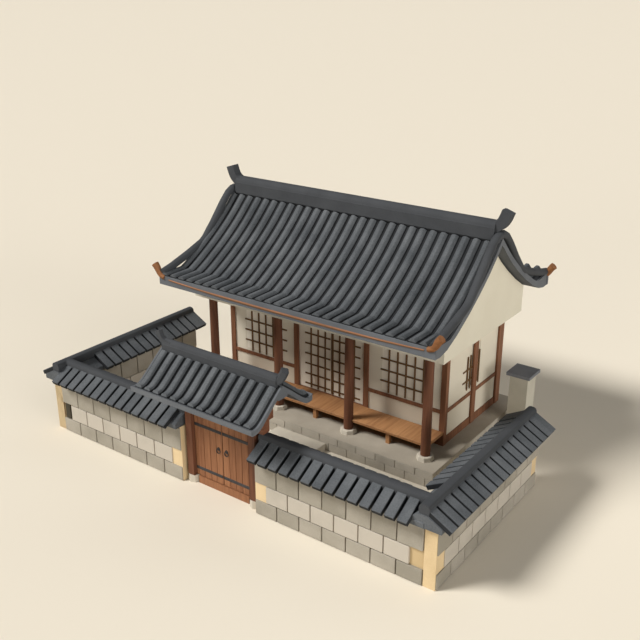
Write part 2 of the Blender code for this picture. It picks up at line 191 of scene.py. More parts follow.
gablePlaster = grittyMaterial("gablePlaster", (206, 199, 180), (215, 209, 191), cloud=0.8, share=0.25, bump=0.001)
soffitPlaster = grittyMaterial("soffitPlaster", (200, 192, 174), (222, 213, 195), cloud=0.8, share=0.25)
paperPane = grittyMaterial("paperPane", (220, 212, 196), (232, 224, 209), cloud=2.0, speck=120.0, bump=0.0004)
chimneyPlaster = grittyMaterial("chimneyPlaster", (170, 165, 150), (190, 185, 170), cloud=1.2, share=0.3)
# dark stone colour for the gap of the missing block: painted shadow of the recess
shadeStone = grittyMaterial("shadeStone", (52, 48, 38), (70, 64, 50), speck=45.0, share=0.35)
postWood = woodMaterial("postWood", (94, 60, 41), (144, 98, 70), "Z")
columnWood = woodMaterial("columnWood", (78, 46, 31), (118, 75, 51), "Z")
beamWoodX = woodMaterial("beamWoodX", (87, 52, 36), (129, 83, 58), "X")
barWood = woodMaterial("barWood", (84, 60, 36), (116, 86, 54), "Z")
gateWood = woodMaterial("gateWood", (116, 74, 48), (156, 108, 74), "Z", fibre=26.0)
hornWood = woodMaterial("hornWood", (104, 66, 38), (150, 100, 60), "X")
stripWood = woodMaterial("stripWood", (100, 72, 48), (178, 124, 92), "X")
deckWood = woodMaterial("deckWood", (140, 96, 60), (180, 132, 88), "Y", fibre=14.0)
iron = grittyMaterial("iron", (38, 38, 40), (62, 60, 60), rough=0.5, speck=80.0)
print("materials ready")


# Shapes

def startMesh():
    bm = bmesh.new()
    bm.faces.layers.float.new("tone")
    return bm


def newPiece(name, bm, materials, body="house", replaces=(), smooth=None):
    bmesh.ops.recalc_face_normals(bm, faces=bm.faces[:])
    mesh = bpy.data.meshes.new(name)
    bm.to_mesh(mesh)
    bm.free()
    for mat in materials if isinstance(materials, (list, tuple)) else [materials]:
        mesh.materials.append(mat)
    if smooth is not None:
        mesh.shade_smooth()
        mesh.set_sharp_from_angle(angle=radians(smooth))
    obj = bpy.data.objects.new(name, mesh)
    bpy.context.scene.collection.objects.link(obj)
    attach(obj, body)
    if replaces:
        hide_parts(*replaces)
    return obj


def addBox(bm, low, high, bevel=0.0, tone=0.0, material=0, segments=1):
    low, high = Vector(low), Vector(high)
    size = high - low
    place = Matrix.Translation((low + high) / 2) @ Matrix.Diagonal((*size, 1.0))
    verts = bmesh.ops.create_cube(bm, size=1.0, matrix=place)["verts"]
    layer = bm.faces.layers.float["tone"]
    for face in {f for v in verts for f in v.link_faces}:
        face[layer] = tone
        face.material_index = material
    if bevel:
        edges = list({e for v in verts for e in v.link_edges})
        bmesh.ops.bevel(bm, geom=edges, offset=bevel, segments=segments, affect="EDGES", profile=0.5,
                        material=-1)


def placeAt(point, across, up):
    # a frame whose X is across, Y is up and Z runs on along the sweep
    across, up = across.normalized(), up.normalized()
    m = Matrix((across, up, across.cross(up))).transposed().to_4x4()
    m.translation = point
    return m


def sweep(bm, section, places, tone=0.0, material=0, hollowEnd=0.0):
    # closed section carried through the places, with both ends filled
    ring = [bmesh.ops.create_vert(bm, co=places[0] @ Vector((a, b, 0.0)))["vert"][0] for a, b in section]
    edges = [bm.edges.new((v, ring[(i + 1) % len(ring)])) for i, v in enumerate(ring)]
    first = edges
    made = set()
    for last, place in zip(places, places[1:]):
        grown = bmesh.ops.extrude_edge_only(bm, edges=edges)["geom"]
        verts = [g for g in grown if isinstance(g, bmesh.types.BMVert)]
        bmesh.ops.transform(bm, matrix=place @ last.inverted(), verts=verts)
        edges = [g for g in grown if isinstance(g, bmesh.types.BMEdge)]
        made.update(f for v in verts for f in v.link_faces)
    start = bmesh.ops.edgeloop_fill(bm, edges=first)["faces"]
    end = bmesh.ops.edgeloop_fill(bm, edges=edges)["faces"]
    made.update(start + end)
    layer = bm.faces.layers.float["tone"]
    for face in made:
        face[layer] = tone
        face.material_index = material
    if hollowEnd:
        bmesh.ops.inset_individual(bm, faces=end, thickness=0.016)
        back = bmesh.ops.extrude_discrete_faces(bm, faces=end)["faces"]
        inward = (places[-2].translation - places[-1].translation).normalized() * hollowEnd
        bmesh.ops.translate(bm, vec=inward, verts=list({v for f in back for v in f.verts}))


def smoothLine(points, steps):
    # Catmull-Rom curve through flat points
    ends = [points[0]] + list(points) + [points[-1]]
    line = []
    for p0, p1, p2, p3 in zip(ends, ends[1:], ends[2:], ends[3:]):
        for k in range(steps):
            t = k / steps
            line.append(tuple(0.5 * (2 * b + (c - a) * t + (2 * a - 5 * b + 4 * c - d) * t * t
                                     + (3 * b - a - 3 * c + d) * t ** 3)
                              for a, b, c, d in zip(p0, p1, p2, p3)))
    return line + [tuple(points[-1])]


def arch(half, high, facets, foot):
    # half-round section with flat facets, standing on a foot below the surface
    pts = [(half * cos(pi * i / facets), high * sin(pi * i / facets)) for i in range(facets + 1)]
    return [(half, -foot)] + pts + [(-half, -foot)]


def disc(radius, sides):
    return [(radius * cos(2 * pi * (i + 0.5) / sides), radius * sin(2 * pi * (i + 0.5) / sides))
            for i in range(sides)]


# Tiled slopes of the house and the gate
# each slope: line of the tile bed (distance from the ridge, height), slab, ribs, pale strip at the eave
houseRoof = {
    "profile": [(0.0, 5.49), (0.19, 5.30), (0.58, 4.935), (1.01, 4.59), (1.48, 4.265), (1.99, 3.955),
                (2.29, 3.805)],
    "flare": {-1: (2.94, 3.805), 1: (2.94, 3.885)},
    "under": [(2.94, 3.59), (2.91, 3.553), (2.70, 3.535), (2.40, 3.60), (1.99, 3.795), (1.48, 4.10),
              (1.01, 4.43), (0.58, 4.77), (0.0, 5.32)],
    "ends": (-4.0, 4.0), "ribEnd": 2.93, "ribStart": 0.12, "steps": 3, "pitch": 0.2815, "first": -3.892,
    "count": 28, "tall": {-1: 1.0, 1: 1.4}, "foot": [(0.118, -0.02), (0.114, 0.012), (0.098, 0.028)],
    "crown": [(0.099, 0.018), (0.097, 0.032), (0.050, 0.080), (0.034, 0.090)],
}
gateRoof = {
    "profile": [(0.0, 3.21), (0.10, 3.13), (0.30, 2.975), (0.50, 2.81), (0.68, 2.67), (0.80, 2.60), (0.92, 2.575)],
    "flare": {-1: (1.02, 2.60), 1: (1.02, 2.62)},
    "under": [(1.02, 2.49), (0.99, 2.465), (0.90, 2.455), (0.78, 2.48), (0.66, 2.555), (0.50, 2.69), (0.30, 2.86),
              (0.16, 2.965), (0.14, 2.915), (0.0, 2.915)],
    "ends": (-1.74, 1.74), "ribEnd": 0.965, "ribStart": 0.09, "steps": 3, "pitch": 0.259,
    "first": -1.545, "count": 13, "tall": {-1: 1.0, 1: 1.4},
    "foot": [(0.104, -0.02), (0.102, 0.016), (0.086, 0.034)],
    "crown": [(0.087, 0.022), (0.085, 0.038), (0.060, 0.078), (0.044, 0.086)],
}
fascia = {"ends": (-4.085, 4.02), "z": (3.556, 3.798)}


def alongX(low, high, y=0.0, z=0.0):
    # sweep frames for a section given in Y and Z
    return [placeAt(Vector((x, y, z)), Vector((0.0, 1.0, 0.0)), Vector((0.0, 0.0, 1.0))) for x in (low, high)]


def alongY(low, high, x=0.0, z=0.0):
    # sweep frames for a section given in X and Z
    return [placeAt(Vector((x, y, z)), Vector((1.0, 0.0, 0.0)), Vector((0.0, 0.0, 1.0))) for y in (high, low)]


def mirrored(half):
    return list(half) + [(-a, b) for a, b in reversed(half)]


def slopePlaces(x, centre, side, line):
    # sweep frames down a slope; the front slope has side -1
    places = []
    for i, (d, z) in enumerate(line):
        before, after = line[max(i - 1, 0)], line[min(i + 1, len(line) - 1)]
        along = Vector((0.0, side * (after[0] - before[0]), after[1] - before[1])).normalized()
        up = Vector((0.0, -side * along.z, side * along.y))
        if up.z < 0:
            up = -up
        places.append(placeAt(Vector((x, centre + side * d, z)), up.cross(along), up))
    return places


def cutLine(line, low, high):
    # the part of a line between two distances, with its ends interpolated
    def heightAt(d):
        for (d0, z0), (d1, z1) in zip(line, line[1:]):
            if d <= d1:
                return z0 + (z1 - z0) * (d - d0) / (d1 - d0)
        return line[-1][1]
    inner = [p for p in line if low + 0.01 < p[0] < high - 0.01]
    return [(low, heightAt(low))] + inner + [(high, heightAt(high))]


def tiledSlope(name, values, centre, side, node=None):
    line = smoothLine(values["profile"], values["steps"]) + [values["flare"][side]]
    bm = startMesh()
    dice = random.Random(name)
    low, high = values["ends"]
    if node:
        inner = max(side * 0.0003, 0.0)
        top = [(centre + side * d, z) for d, z in line]
        under = [(centre + side * d, z) for d, z in values["under"]]
        sweep(bm, [(y + inner, z) for y, z in top + under], alongX(low, high), 0.0, 2)
    # the sheet between the ribs and each rib's lower sides take the dark gutter clay: painted shade in the gutters
    bed = cutLine(line, 0.02, values["ribEnd"] - 0.01)
    sheet = [(centre + side * d, z + 0.005) for d, z in bed]
    sheet += [(centre + side * d, z - 0.02) for d, z in reversed(bed)]
    sweep(bm, sheet, alongX(low + 0.05, high - 0.05), 0.0, 1)
    for i in range(values["count"]):
        path = slopePlaces(values["first"] + i * values["pitch"], centre, side,
                           cutLine(line, values["ribStart"], values["ribEnd"]))
        tall = values["tall"][side]
        sweep(bm, [(a, b * tall) for a, b in mirrored(values["foot"])], path, 0.0, 1)
        sweep(bm, [(a, b * tall) for a, b in mirrored(values["crown"])], path, dice.uniform(-0.1, 0.1), 0)
    replaced = [node] if node else []
    return newPiece(name, bm, [ribClay, panClay, edgeClay], replaces=replaced)


for side, tag in ((-1, "front"), (1, "rear")):
    tiledSlope("%s_tiles" % tag, houseRoof, midY, side, "%s_roof" % tag)
    bm = startMesh()
    ys = sorted((midY + side * 2.86, midY + side * 2.945))
    addBox(bm, (fascia["ends"][0], ys[0], fascia["z"][0]), (fascia["ends"][1], ys[1], fascia["z"][1]), 0.008)
    newPiece("eave_fascia_%s" % tag, bm, edgeClay)

bm = startMesh()
bed = smoothLine(gateRoof["profile"], gateRoof["steps"])
section = [(gateY - d, z) for d, z in reversed(bed + [gateRoof["flare"][-1]])]
section += [(gateY + d, z) for d, z in bed[1:] + [gateRoof["flare"][1]] + gateRoof["under"]]
section += [(gateY - d, z) for d, z in reversed(gateRoof["under"][:-1])]
sweep(bm, section, alongX(*gateRoof["ends"]))
newPiece("gate_slab", bm, edgeClay, replaces=["gate_roof"])
for side, tag in ((-1, "front"), (1, "rear")):
    tiledSlope("gate_%s_tiles" % tag, gateRoof, gateY, side)
print("roof tiles laid")


# Painted strip along each eave, bowed up at its ends
strip = {"halfX": 3.74, "middle": 3.655, "rise": 0.07, "tall": 0.030, "endTall": 0.016, "depth": 0.02}
for side, tag in ((-1, "front"), (1, "rear")):
    bm = startMesh()
    face = midY + side * 2.94
    for low, high, tone in ((-1.0, 0.0, -0.8), (0.0, 1.0, 0.1)):
        places = []
        for i in range(17):
            k = i / 8 - 1
            tall = strip["tall"] + (strip["endTall"] - strip["tall"]) * k * k
            centre = Vector((k * strip["halfX"], face, strip["middle"] + strip["rise"] * abs(k) ** 3))
            place = placeAt(centre, Vector((0.0, 1.0, 0.0)), Vector((0.0, 0.0, 1.0)))
            places.append(place @ Matrix.Diagonal((1.0, tall, 1.0, 1.0)))
        deep = strip["depth"]
        sweep(bm, [(-deep, low), (deep, low), (deep, high), (-deep, high)], places, tone)
    newPiece("eave_strip_%s" % tag, bm, stripWood, replaces=["eave_board_%s" % tag])


# Rake ridges: thick tubes that run straighter than the slope, with gaps under them
rake = {"x": (-3.965, 3.93), "radius": 0.098, "sides": 10, "sag": 0.05,
        "path": [(0.0, 5.56), (0.14, 5.545), (0.31, 5.46), (0.56, 5.22), (0.96, 4.765), (1.30, 4.42),
                 (1.42, 4.335), (1.60, 4.27), (1.95, 4.15), (2.57, 3.965), (2.93, 3.885)]}
for side, tag in ((-1, "front"), (1, "rear")):
    for x, name in zip(rake["x"], ("left", "right")):
        bm = startMesh()
        sag = rake["sag"] if side < 0 and x > 0 else 0.0
        path = [(d, z - sag * min(max((d - 1.3) / 0.4, 0.0), 1.0)) for d, z in rake["path"]]
        sweep(bm, disc(rake["radius"], rake["sides"]), slopePlaces(x, midY, side, path))
        newPiece("rake_tube_%s_%s" % (tag, name), bm, ridgeClay,
                 replaces=["rake_%s_%s" % (tag, name)], smooth=40)

# Wooden corner horns that curl out and up beyond the roof's ends
horn = {"radius": (0.062, 0.10), "side": 2.93, "shift": -0.04,
        "path": [(3.86, 3.76), (3.985, 3.80), (4.055, 3.89), (4.10, 3.98), (4.175, 4.07)]}


def curlPlaces(y, hand, path, shift=0.0):
    places = []
    for i, (x, z) in enumerate(path):
        before, after = path[max(i - 1, 0)], path[min(i + 1, len(path) - 1)]
        along = Vector((hand * (after[0] - before[0]), 0.0, after[1] - before[1])).normalized()
        places.append(placeAt(Vector((hand * x + shift, y, z)), Vector((0.0, 1.0, 0.0)),
                              along.cross(Vector((0.0, 1.0, 0.0)))))
    return places


for side, tag in ((-1, "front"), (1, "rear")):
    for hand, name in ((-1, "left"), (1, "right")):
        bm = startMesh()
        places = curlPlaces(midY + side * horn["side"], hand, smoothLine(horn["path"], 2), horn["shift"])
        thin, thick = horn["radius"]
        grown = [thin + (thick - thin) * i / (len(places) - 1) for i in range(len(places))]
        sweep(bm, disc(1.0, 8), [m @ Matrix.Diagonal((r, r, 1.0, 1.0)) for m, r in zip(places, grown)])
        newPiece("corner_horn_%s_%s" % (tag, name), bm, hornWood, smooth=50)
print("rakes and horns placed")


# Main ridge and gate ridge, each with upturned ends
ridges = {
    "main": {"y": midY, "base": 0.10, "half": 0.17, "z": (5.45, 5.74), "crown": 0.15, "end": 3.84, "foot": 5.2,
             "depth": 0.115, "horn": [(3.56, 5.70), (3.80, 5.74), (3.94, 5.83), (4.02, 5.96), (4.08, 6.125)],
             "hornHalf": 0.13, "round": 0.3},
    "gate": {"y": gateY, "base": 0.07, "half": 0.11, "z": (3.165, 3.33), "crown": 0.105, "end": 1.64, "foot": 2.9,
             "depth": 0.09, "horn": [(1.40, 3.30), (1.58, 3.32), (1.68, 3.36), (1.75, 3.45), (1.81, 3.58)],
             "hornHalf": 0.10, "round": 0.9},
}


def ridgePiece(name, values, node):
    bm = startMesh()
    half, (low, high), crown = values["half"], values["z"], values["crown"]
    section = [(values["base"], values["foot"]), (values["base"], low), (half, low), (half, high - 0.01),
               (half - 0.012, high)]
    half -= 0.012
    section += [(half * cos(pi * i / 10), high + crown * sin(pi * i / 10)) for i in range(1, 6)]
    section = section[:-1] + [(0.02, high + crown)]
    sweep(bm, mirrored(section), alongX(-values["end"], values["end"], values["y"]))
    for hand in (-1, 1):
        h, d, r = values["hornHalf"], values["depth"], values["round"] * values["depth"]
        plate = [(d, -h + r), (d - r, -h)] if r > 0.05 else [(d, -h)]
        plate = [(-d, -h)] + plate[::-1] + [(d, h - r), (d - r, h), (-d + r, h), (-d, h - r)]
        sweep(bm, plate, curlPlaces(values["y"], hand, smoothLine(values["horn"], 3)))
    return newPiece(name, bm, ridgeClay, replaces=[node], smooth=35)


ridgePiece("main_ridge_cover", ridges["main"], "main_ridge")
ridgePiece("gate_ridge_cover", ridges["gate"], "gate_ridge")
print("ridges placed")


# Caps of the courtyard walls: ribs down both slopes, an even strip at the eave and a rounded ridge
cap = {"pitch": 0.2854, "first": {-1: 1.40, 1: 1.265}, "count": 14,
       "sidePitch": 0.278, "sideFirst": {-1: 0.645, 1: 0.615}, "sideCount": 17,
       "foot": [(0.112, -0.045), (0.112, 0.048)], "crown": [(0.107, 0.042), (0.106, 0.058), (0.096, 0.064)],
       "slab": [(0.40, 1.415), (0.405, 1.525), (0.09, 1.70)],
       "ridge": [(0.105, 1.70), (0.118, 1.80), (0.112, 1.86), (0.085, 1.90), (0.04, 1.92)],
       "slope": [(0.08, 1.752), (0.572, 1.482)]}
capLow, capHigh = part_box("right_wall_cap")
capX = wallHigh.x - 0.288
capY = frontY + 0.288


def capPlaces(x, y, outward, lift=0.0):
    (o0, z0), (o1, z1) = cap["slope"]
    outward = Vector(outward)
    start = Vector((x, y, z0 + lift)) + outward * o0
    end = Vector((x, y, z1 + lift)) + outward * o1
    along = (end - start).normalized()
    up = Vector((0.0, 0.0, 1.0)) - along * along.z
    return [placeAt(p, up.cross(along), up) for p in (start, end)]


def wallCap(name, hand, node):
    bm = startMesh()
    dice = random.Random(name)
    gateEnd, rearEnd = capLow.x, capHigh.y
    slab, crest = mirrored(cap["slab"]), mirrored(cap["ridge"])
    sweep(bm, slab, alongX(*sorted((hand * (gateEnd + 0.02), hand * (capX + 0.02))), capY))
    sweep(bm, slab, alongY(frontY - 0.10, rearEnd - 0.02, hand * capX, 0.0002))
    sweep(bm, crest, alongX(*sorted((hand * gateEnd, hand * (capX + 0.05))), capY), 0.0, 1)
    sweep(bm, crest, alongY(frontY - 0.08, rearEnd - 0.01, hand * capX, 0.0003), 0.0, 1)

    def rib(x, y, outward, lift=0.0):
        places = capPlaces(x, y, outward, lift)
        # each rib's lower sides take the dark gutter clay: painted shade in the gutters between the ribs
        sweep(bm, mirrored(cap["foot"]), places, 0.0, 2)
        sweep(bm, mirrored(cap["crown"]), places, dice.uniform(-0.1, 0.1), 0)

    for i in range(cap["count"]):
        x = cap["first"][hand] + i * cap["pitch"]
        for way in (-1, 1):
            if x < capX - (0.14 if way < 0 else 0.66):
                rib(hand * x, capY, (0.0, way, 0.0))
    ys = [rearEnd - 0.115] + [cap["sideFirst"][hand] - i * cap["sidePitch"] for i in range(cap["sideCount"])]
    for y in ys:
        for way in (-1, 1):
            if y > (capY + 0.66 if way < 0 else frontY + 0.01):
                # the end rib lies a little over the one that it laps
                rib(hand * capX, y, (hand * way, 0.0, 0.0), 0.004 if y == ys[0] else 0.0)
    return newPiece(name, bm, [ribClay, ridgeClay, panClay], replaces=[node], smooth=30)


for hand, tag in ((-1, "left"), (1, "right")):
    wallCap("%s_cap_tiles" % tag, hand, "%s_wall_cap" % tag)
print("wall caps tiled")


# Courtyard walls: cut stones in three courses round a mortar core
yard = {"pitch": 0.60, "sidePitch": 0.581, "tops": (0.372, 0.794, 1.201), "joint": 0.026, "core": 0.06,
        "post": 0.026, "bevel": 0.008, "blocks": 7, "sideBlocks": 8, "sideStart": 0.03, "missing": (-5.235, -5.06)}
courseTone = (-0.26, 0.5, -0.3)


def yardStones(name, hand, node):
    bm = startMesh()
    dice = random.Random(name)
    joint, core, post = yard["joint"] / 2, yard["core"], yard["post"]
    inY, inX = frontY + 0.576, wallHigh.x - 0.576
    x0, z0 = wallLow.x, 0.0

    def stone(x, y, z, tone):
        xs = sorted((hand * (x[0] + joint), hand * (x[1] - joint)))
        addBox(bm, (xs[0], y[0], z[0] + joint), (xs[1], y[1], z[1] - joint * 0.6), yard["bevel"],
               tone + dice.uniform(-0.16, 0.16))

    for course, z1 in enumerate(yard["tops"]):
        z1 += 0.19 if course == 2 else 0.0
        shift = 0.5 if course == 1 else 0.0
        count = yard["blocks"] - (1 if course == 1 else 0)
        for i in range(count):
            a = x0 + yard["pitch"] * (i + shift)
            b = a + yard["pitch"]
            stone((a, b), (frontY, frontY + 0.24), (z0, z1), courseTone[course])
            if a < inX:
                stone((a, min(b, inX + joint)), (inY - 0.24, inY), (z0, z1), courseTone[course])
        count = yard["sideBlocks"] - (1 if course == 1 else 0)
        for i in range(count):
            a = frontY + yard["sideStart"] + yard["sidePitch"] * (i + shift)
            b = a + yard["sidePitch"]
            for x in ((inX, inX + 0.24), (wallHigh.x - 0.24, wallHigh.x)):
                if b < inY and x[0] == inX:
                    continue
                low = max(a + joint, inY + joint) if x[0] == inX else a + joint
                xs = sorted((hand * x[0], hand * x[1]))
                addBox(bm, (xs[0], low, z0 + joint), (xs[1], b - joint, z1 - joint * 0.6), yard["bevel"],
                       courseTone[course] + dice.uniform(-0.16, 0.16))
        z0 = z1
    # mortar core, with fuller posts at the ends and the corner
    top = wallHigh.z
    xs = sorted((hand * (x0 + 0.02), hand * (wallHigh.x - core)))
    addBox(bm, (xs[0], frontY + core, 0.0), (xs[1], inY - core, top), 0.0, 0.0, 1)
    xs = sorted((hand * (inX + core), hand * (wallHigh.x - core)))
    addBox(bm, (xs[0], frontY + core, 0.0), (xs[1], wallHigh.y - 0.02, top), 0.0, 0.0, 1)
    cornerWidth = 0.64 if hand > 0 else 0.30
    for a, b in ((x0, x0 + 0.36), (wallHigh.x - cornerWidth, wallHigh.x - post - 0.003)):
        xs = sorted((hand * a, hand * b))
        # the wide block at the right corner sits back in the wall and takes a dark tone: painted shade of that
        # recess
        wide = b > wallHigh.x - 0.1 and hand > 0
        addBox(bm, (xs[0], frontY + (core - 0.005 if wide else post), 0.0), (xs[1], inY - post, top), 0.004,
               -0.7 if wide else 0.3, 1)
    xs = sorted((hand * (inX + post), hand * (wallHigh.x - post)))
    addBox(bm, (xs[0], wallHigh.y - 0.34, 0.0), (xs[1], wallHigh.y, top), 0.004, 0.3, 1)
    xs = sorted((hand * (wallHigh.x - 0.3), hand * (wallHigh.x - post)))
    addBox(bm, (xs[0], frontY + post, 0.0), (xs[1], frontY + 0.36, top), 0.004, 0.3, 1)
    if hand < 0:
        # the half block that is missing at the far corner, with a dark box in its gap: painted shadow of the deep
        # recess
        low, high = yard["missing"]
        addBox(bm, (low, frontY + 0.02, yard["tops"][0] + 0.01), (high, frontY + 0.3, yard["tops"][1] - 0.01), 0.0,
               0.0, 2)
    return newPiece(name, bm, [wallStone, mortar, shadeStone], replaces=[node])


for hand, tag in ((-1, "left"), (1, "right")):
    yardStones("%s_wall_stones" % tag, hand, "%s_yard_wall" % tag)
print("courtyard stones laid")


# Platform: two courses of facing stones round a core, paved on top
platform = {"line": 0.2175, "pitch": 0.548, "joint": 0.012, "first": -0.536, "skin": 0.16}


def platformStones():
    bm = startMesh()
    dice = random.Random("platform")
    top = 0.42
    low, high = Vector((platLow.x, platLow.y, 0.0)), Vector((platHigh.x, platHigh.y, top))
    j, skin = platform["joint"] / 2, platform["skin"]
    for course, (z0, z1) in enumerate(((0.0, platform["line"]), (platform["line"], top))):
        shift = platform["first"] + (0.0 if course else platform["pitch"] / 2)
        z1 -= 0.012 * course
        for face in (0, 1):
            y = (low.y, low.y + skin) if face == 0 else (high.y - skin, high.y)
            cuts = [shift + k * platform["pitch"] for k in range(-20, 21)]
            cuts = [low.x] + [c for c in cuts if low.x + 0.1 < c < high.x - 0.1] + [high.x]
            for a, b in zip(cuts, cuts[1:]):
                addBox(bm, (a + j, y[0], z0 + j * 0.6), (b - j, y[1], z1 - j * 0.6), 0.006,
                       dice.uniform(-0.2, 0.2), 2)
            x = (low.x, low.x + skin) if face == 0 else (high.x - skin, high.x)
            cuts = [low.y + skin + (0.3 if course else 0.57) + k * platform["pitch"] for k in range(12)]
            cuts = [low.y + skin] + [c for c in cuts if c < high.y - skin - 0.1] + [high.y - skin]
            for a, b in zip(cuts, cuts[1:]):
                addBox(bm, (x[0], a + j, z0 + j * 0.6), (x[1], b - j, z1 - j * 0.6), 0.006,
                       dice.uniform(-0.2, 0.2), 2)
    addBox(bm, (low.x + 0.02, low.y + 0.02, 0.0), (high.x - 0.02, high.y - 0.02, top - 0.006), 0.0, -0.4)
    addBox(bm, (low.x, low.y, top - 0.013), (high.x, high.y, top), 0.004, 0.05)
    for i in range(4):
        nodeLow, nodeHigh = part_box("front_column_%d" % (i + 1))
        middle = (nodeLow + nodeHigh) / 2
        m = Matrix.Translation((middle.x, middle.y, top + 0.055)) @ Matrix.Rotation(pi / 8, 4, "Z")
        cone = bmesh.ops.create_cone(bm, cap_ends=True, segments=8, radius1=0.215, radius2=0.195, depth=0.11,
                                     matrix=m)
        edges = [e for e in {e for v in cone["verts"] for e in v.link_edges}
                 if all(v.co.z > top + 0.1 for v in e.verts)]
        bmesh.ops.bevel(bm, geom=edges, offset=0.015, segments=2, affect="EDGES", profile=0.5, material=-1)
        for face in bm.faces:
            if (face.calc_center_median() - middle).xy.length < 0.23 and face.calc_center_median().z > top + 0.002:
                face.material_index = 1
    return newPiece("platform_stones", bm, [platformStone, paleStone, platformFace], replaces=["platform"])


platformStones()
bm = startMesh()
low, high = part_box("step_stone")
addBox(bm, low, high, 0.02, 0.0, 0, 3)
newPiece("step_stone_dressed", bm, paleStone, replaces=["step_stone"], smooth=40)
print("platform laid")


# Lattices on windows and doors: bars at places across, rungs at heights
barHalf = 0.021


def lattice(name, pane, bars, rungs, body="house", out=-1, face=None):
    bm = startMesh()
    low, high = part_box(pane)
    flat = (high.y - low.y) < (high.x - low.x)
    if face is None:
        face = (low.y if flat else low.x) if out < 0 else (high.y if flat else high.x)

    def bar(across, heights, proud):
        depth = sorted((face + out * proud, face - out * 0.006))
        if flat:
            addBox(bm, (across[0], depth[0], heights[0]), (across[1], depth[1], heights[1]), 0.003)
        else:
            addBox(bm, (depth[0], across[0], heights[0]), (depth[1], across[1], heights[1]), 0.003)

    for place, z0, z1 in bars:
        bar((place - barHalf, place + barHalf), (z0, z1), 0.022)
    for z, a, b in rungs:
        bar((a, b), (z - barHalf, z + barHalf), 0.018)
    return newPiece(name, bm, barWood, body)


# the two front windows are the same, two bays apart
frontWindow = {"bars": (1.753, 1.992, 2.232, 2.478, 2.72), "rungs": (1.666, 1.965, 2.265), "z": (1.375, 2.655),
               "span": (1.51, 2.95), "shift": {-1: -4.37, 1: 0.0}}
sideWindow = {"bars": (0.09, 0.235, 0.69), "rungs": (1.71, 2.01), "z": (1.46, 2.36), "span": (-0.145, 0.70)}
doorLattice = {"bars": {-1: (-0.63, -0.405, -0.18), 1: (0.034, 0.06, 0.27, 0.495, 0.72)},
               "span": {-1: (-0.826, -0.02), 1: (0.014, 0.906)},
               "rungs": (0.928, 1.215, 1.503, 1.790, 2.076, 2.361, 2.62)}
for hand, tag in ((-1, "left"), (1, "right")):
    shift = frontWindow["shift"][hand]
    bars = [(x + shift, *frontWindow["z"]) for x in frontWindow["bars"]]
    rungs = [(z, frontWindow["span"][0] + shift, frontWindow["span"][1] + shift) for z in frontWindow["rungs"]]
    wallFace = min(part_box("front_%s_wall" % tag)[0].y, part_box("front_%s_window" % tag)[0].y)
    lattice("front_%s_lattice" % tag, "front_%s_window" % tag, bars, rungs, face=wallFace)
    low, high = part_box("%s_window" % tag)
    bars = [(low.y + y, *sideWindow["z"]) for y in sideWindow["bars"]]
    rungs = [(z, low.y + sideWindow["span"][0], low.y + sideWindow["span"][1]) for z in sideWindow["rungs"]]
    edge = [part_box("%s_%s" % (tag, part))[(1 + hand) // 2].x for part in ("wall", "window")]
    lattice("%s_lattice" % tag, "%s_window" % tag, bars, rungs, out=hand, face=hand * max(hand * x for x in edge))
    low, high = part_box("house_door_%s" % tag)
    bars = [(x, low.z + 0.02, high.z - 0.02) for x in doorLattice["bars"][hand]]
    rungs = [(z, *doorLattice["span"][hand]) for z in doorLattice["rungs"]]
    lattice("house_door_%s_lattice" % tag, "house_door_%s" % tag, bars, rungs, "house_door_%s_body" % tag)
    print("window faces", tag, wallFace, edge)
print("lattices set")


# Facing boards on the posts of the side walls
sidePost = {"x": (3.322, 3.378), "bottom": 0.44, "top": 3.035, "rear": (-0.245, 0.003), "middle": (-0.115, 0.075)}
for hand, tag in ((-1, "left"), (1, "right")):
    bm = startMesh()
    xs = sorted(hand * x for x in sidePost["x"])
    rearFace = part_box("%s_frame" % tag)[1].y + 0.146
    paneLow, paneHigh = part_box("%s_window" % tag)
    for at, (a, b) in ((rearFace, sidePost["rear"]), ((paneLow.y + paneHigh.y) / 2 + 0.08, sidePost["middle"])):
        addBox(bm, (xs[0], at + a, sidePost["bottom"]), (xs[1], at + b, sidePost["top"]), 0.006)
    print("side posts", tag, rearFace, (paneLow.y + paneHigh.y) / 2)
    newPiece("%s_post_boards" % tag, bm, postWood)


# Porch boards
deck = {"board": 0.40, "gap": 0.008}
deckLow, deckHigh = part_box("porch_deck")
bm = startMesh()
dice = random.Random("deck")
count = round((deckHigh.x - deckLow.x) / deck["board"])
width = (deckHigh.x - deckLow.x) / count
for i in range(count):
    a = deckLow.x + i * width
    addBox(bm, (a + deck["gap"] / 2, deckLow.y - 0.012, deckHigh.z - 0.03),
           (a + width - deck["gap"] / 2, deckHigh.y - 0.001, deckHigh.z + 0.004), 0.004, dice.uniform(-0.2, 0.2))
newPiece("deck_boards", bm, deckWood)
print("porch boarded")


# Gate leaves: planks with iron straps and ring pulls
gate = {"plank": 0.188, "strapZ": (0.40, 1.53), "strapHalf": 0.038, "ring": (0.12, 1.05), "ringSize": 0.055}


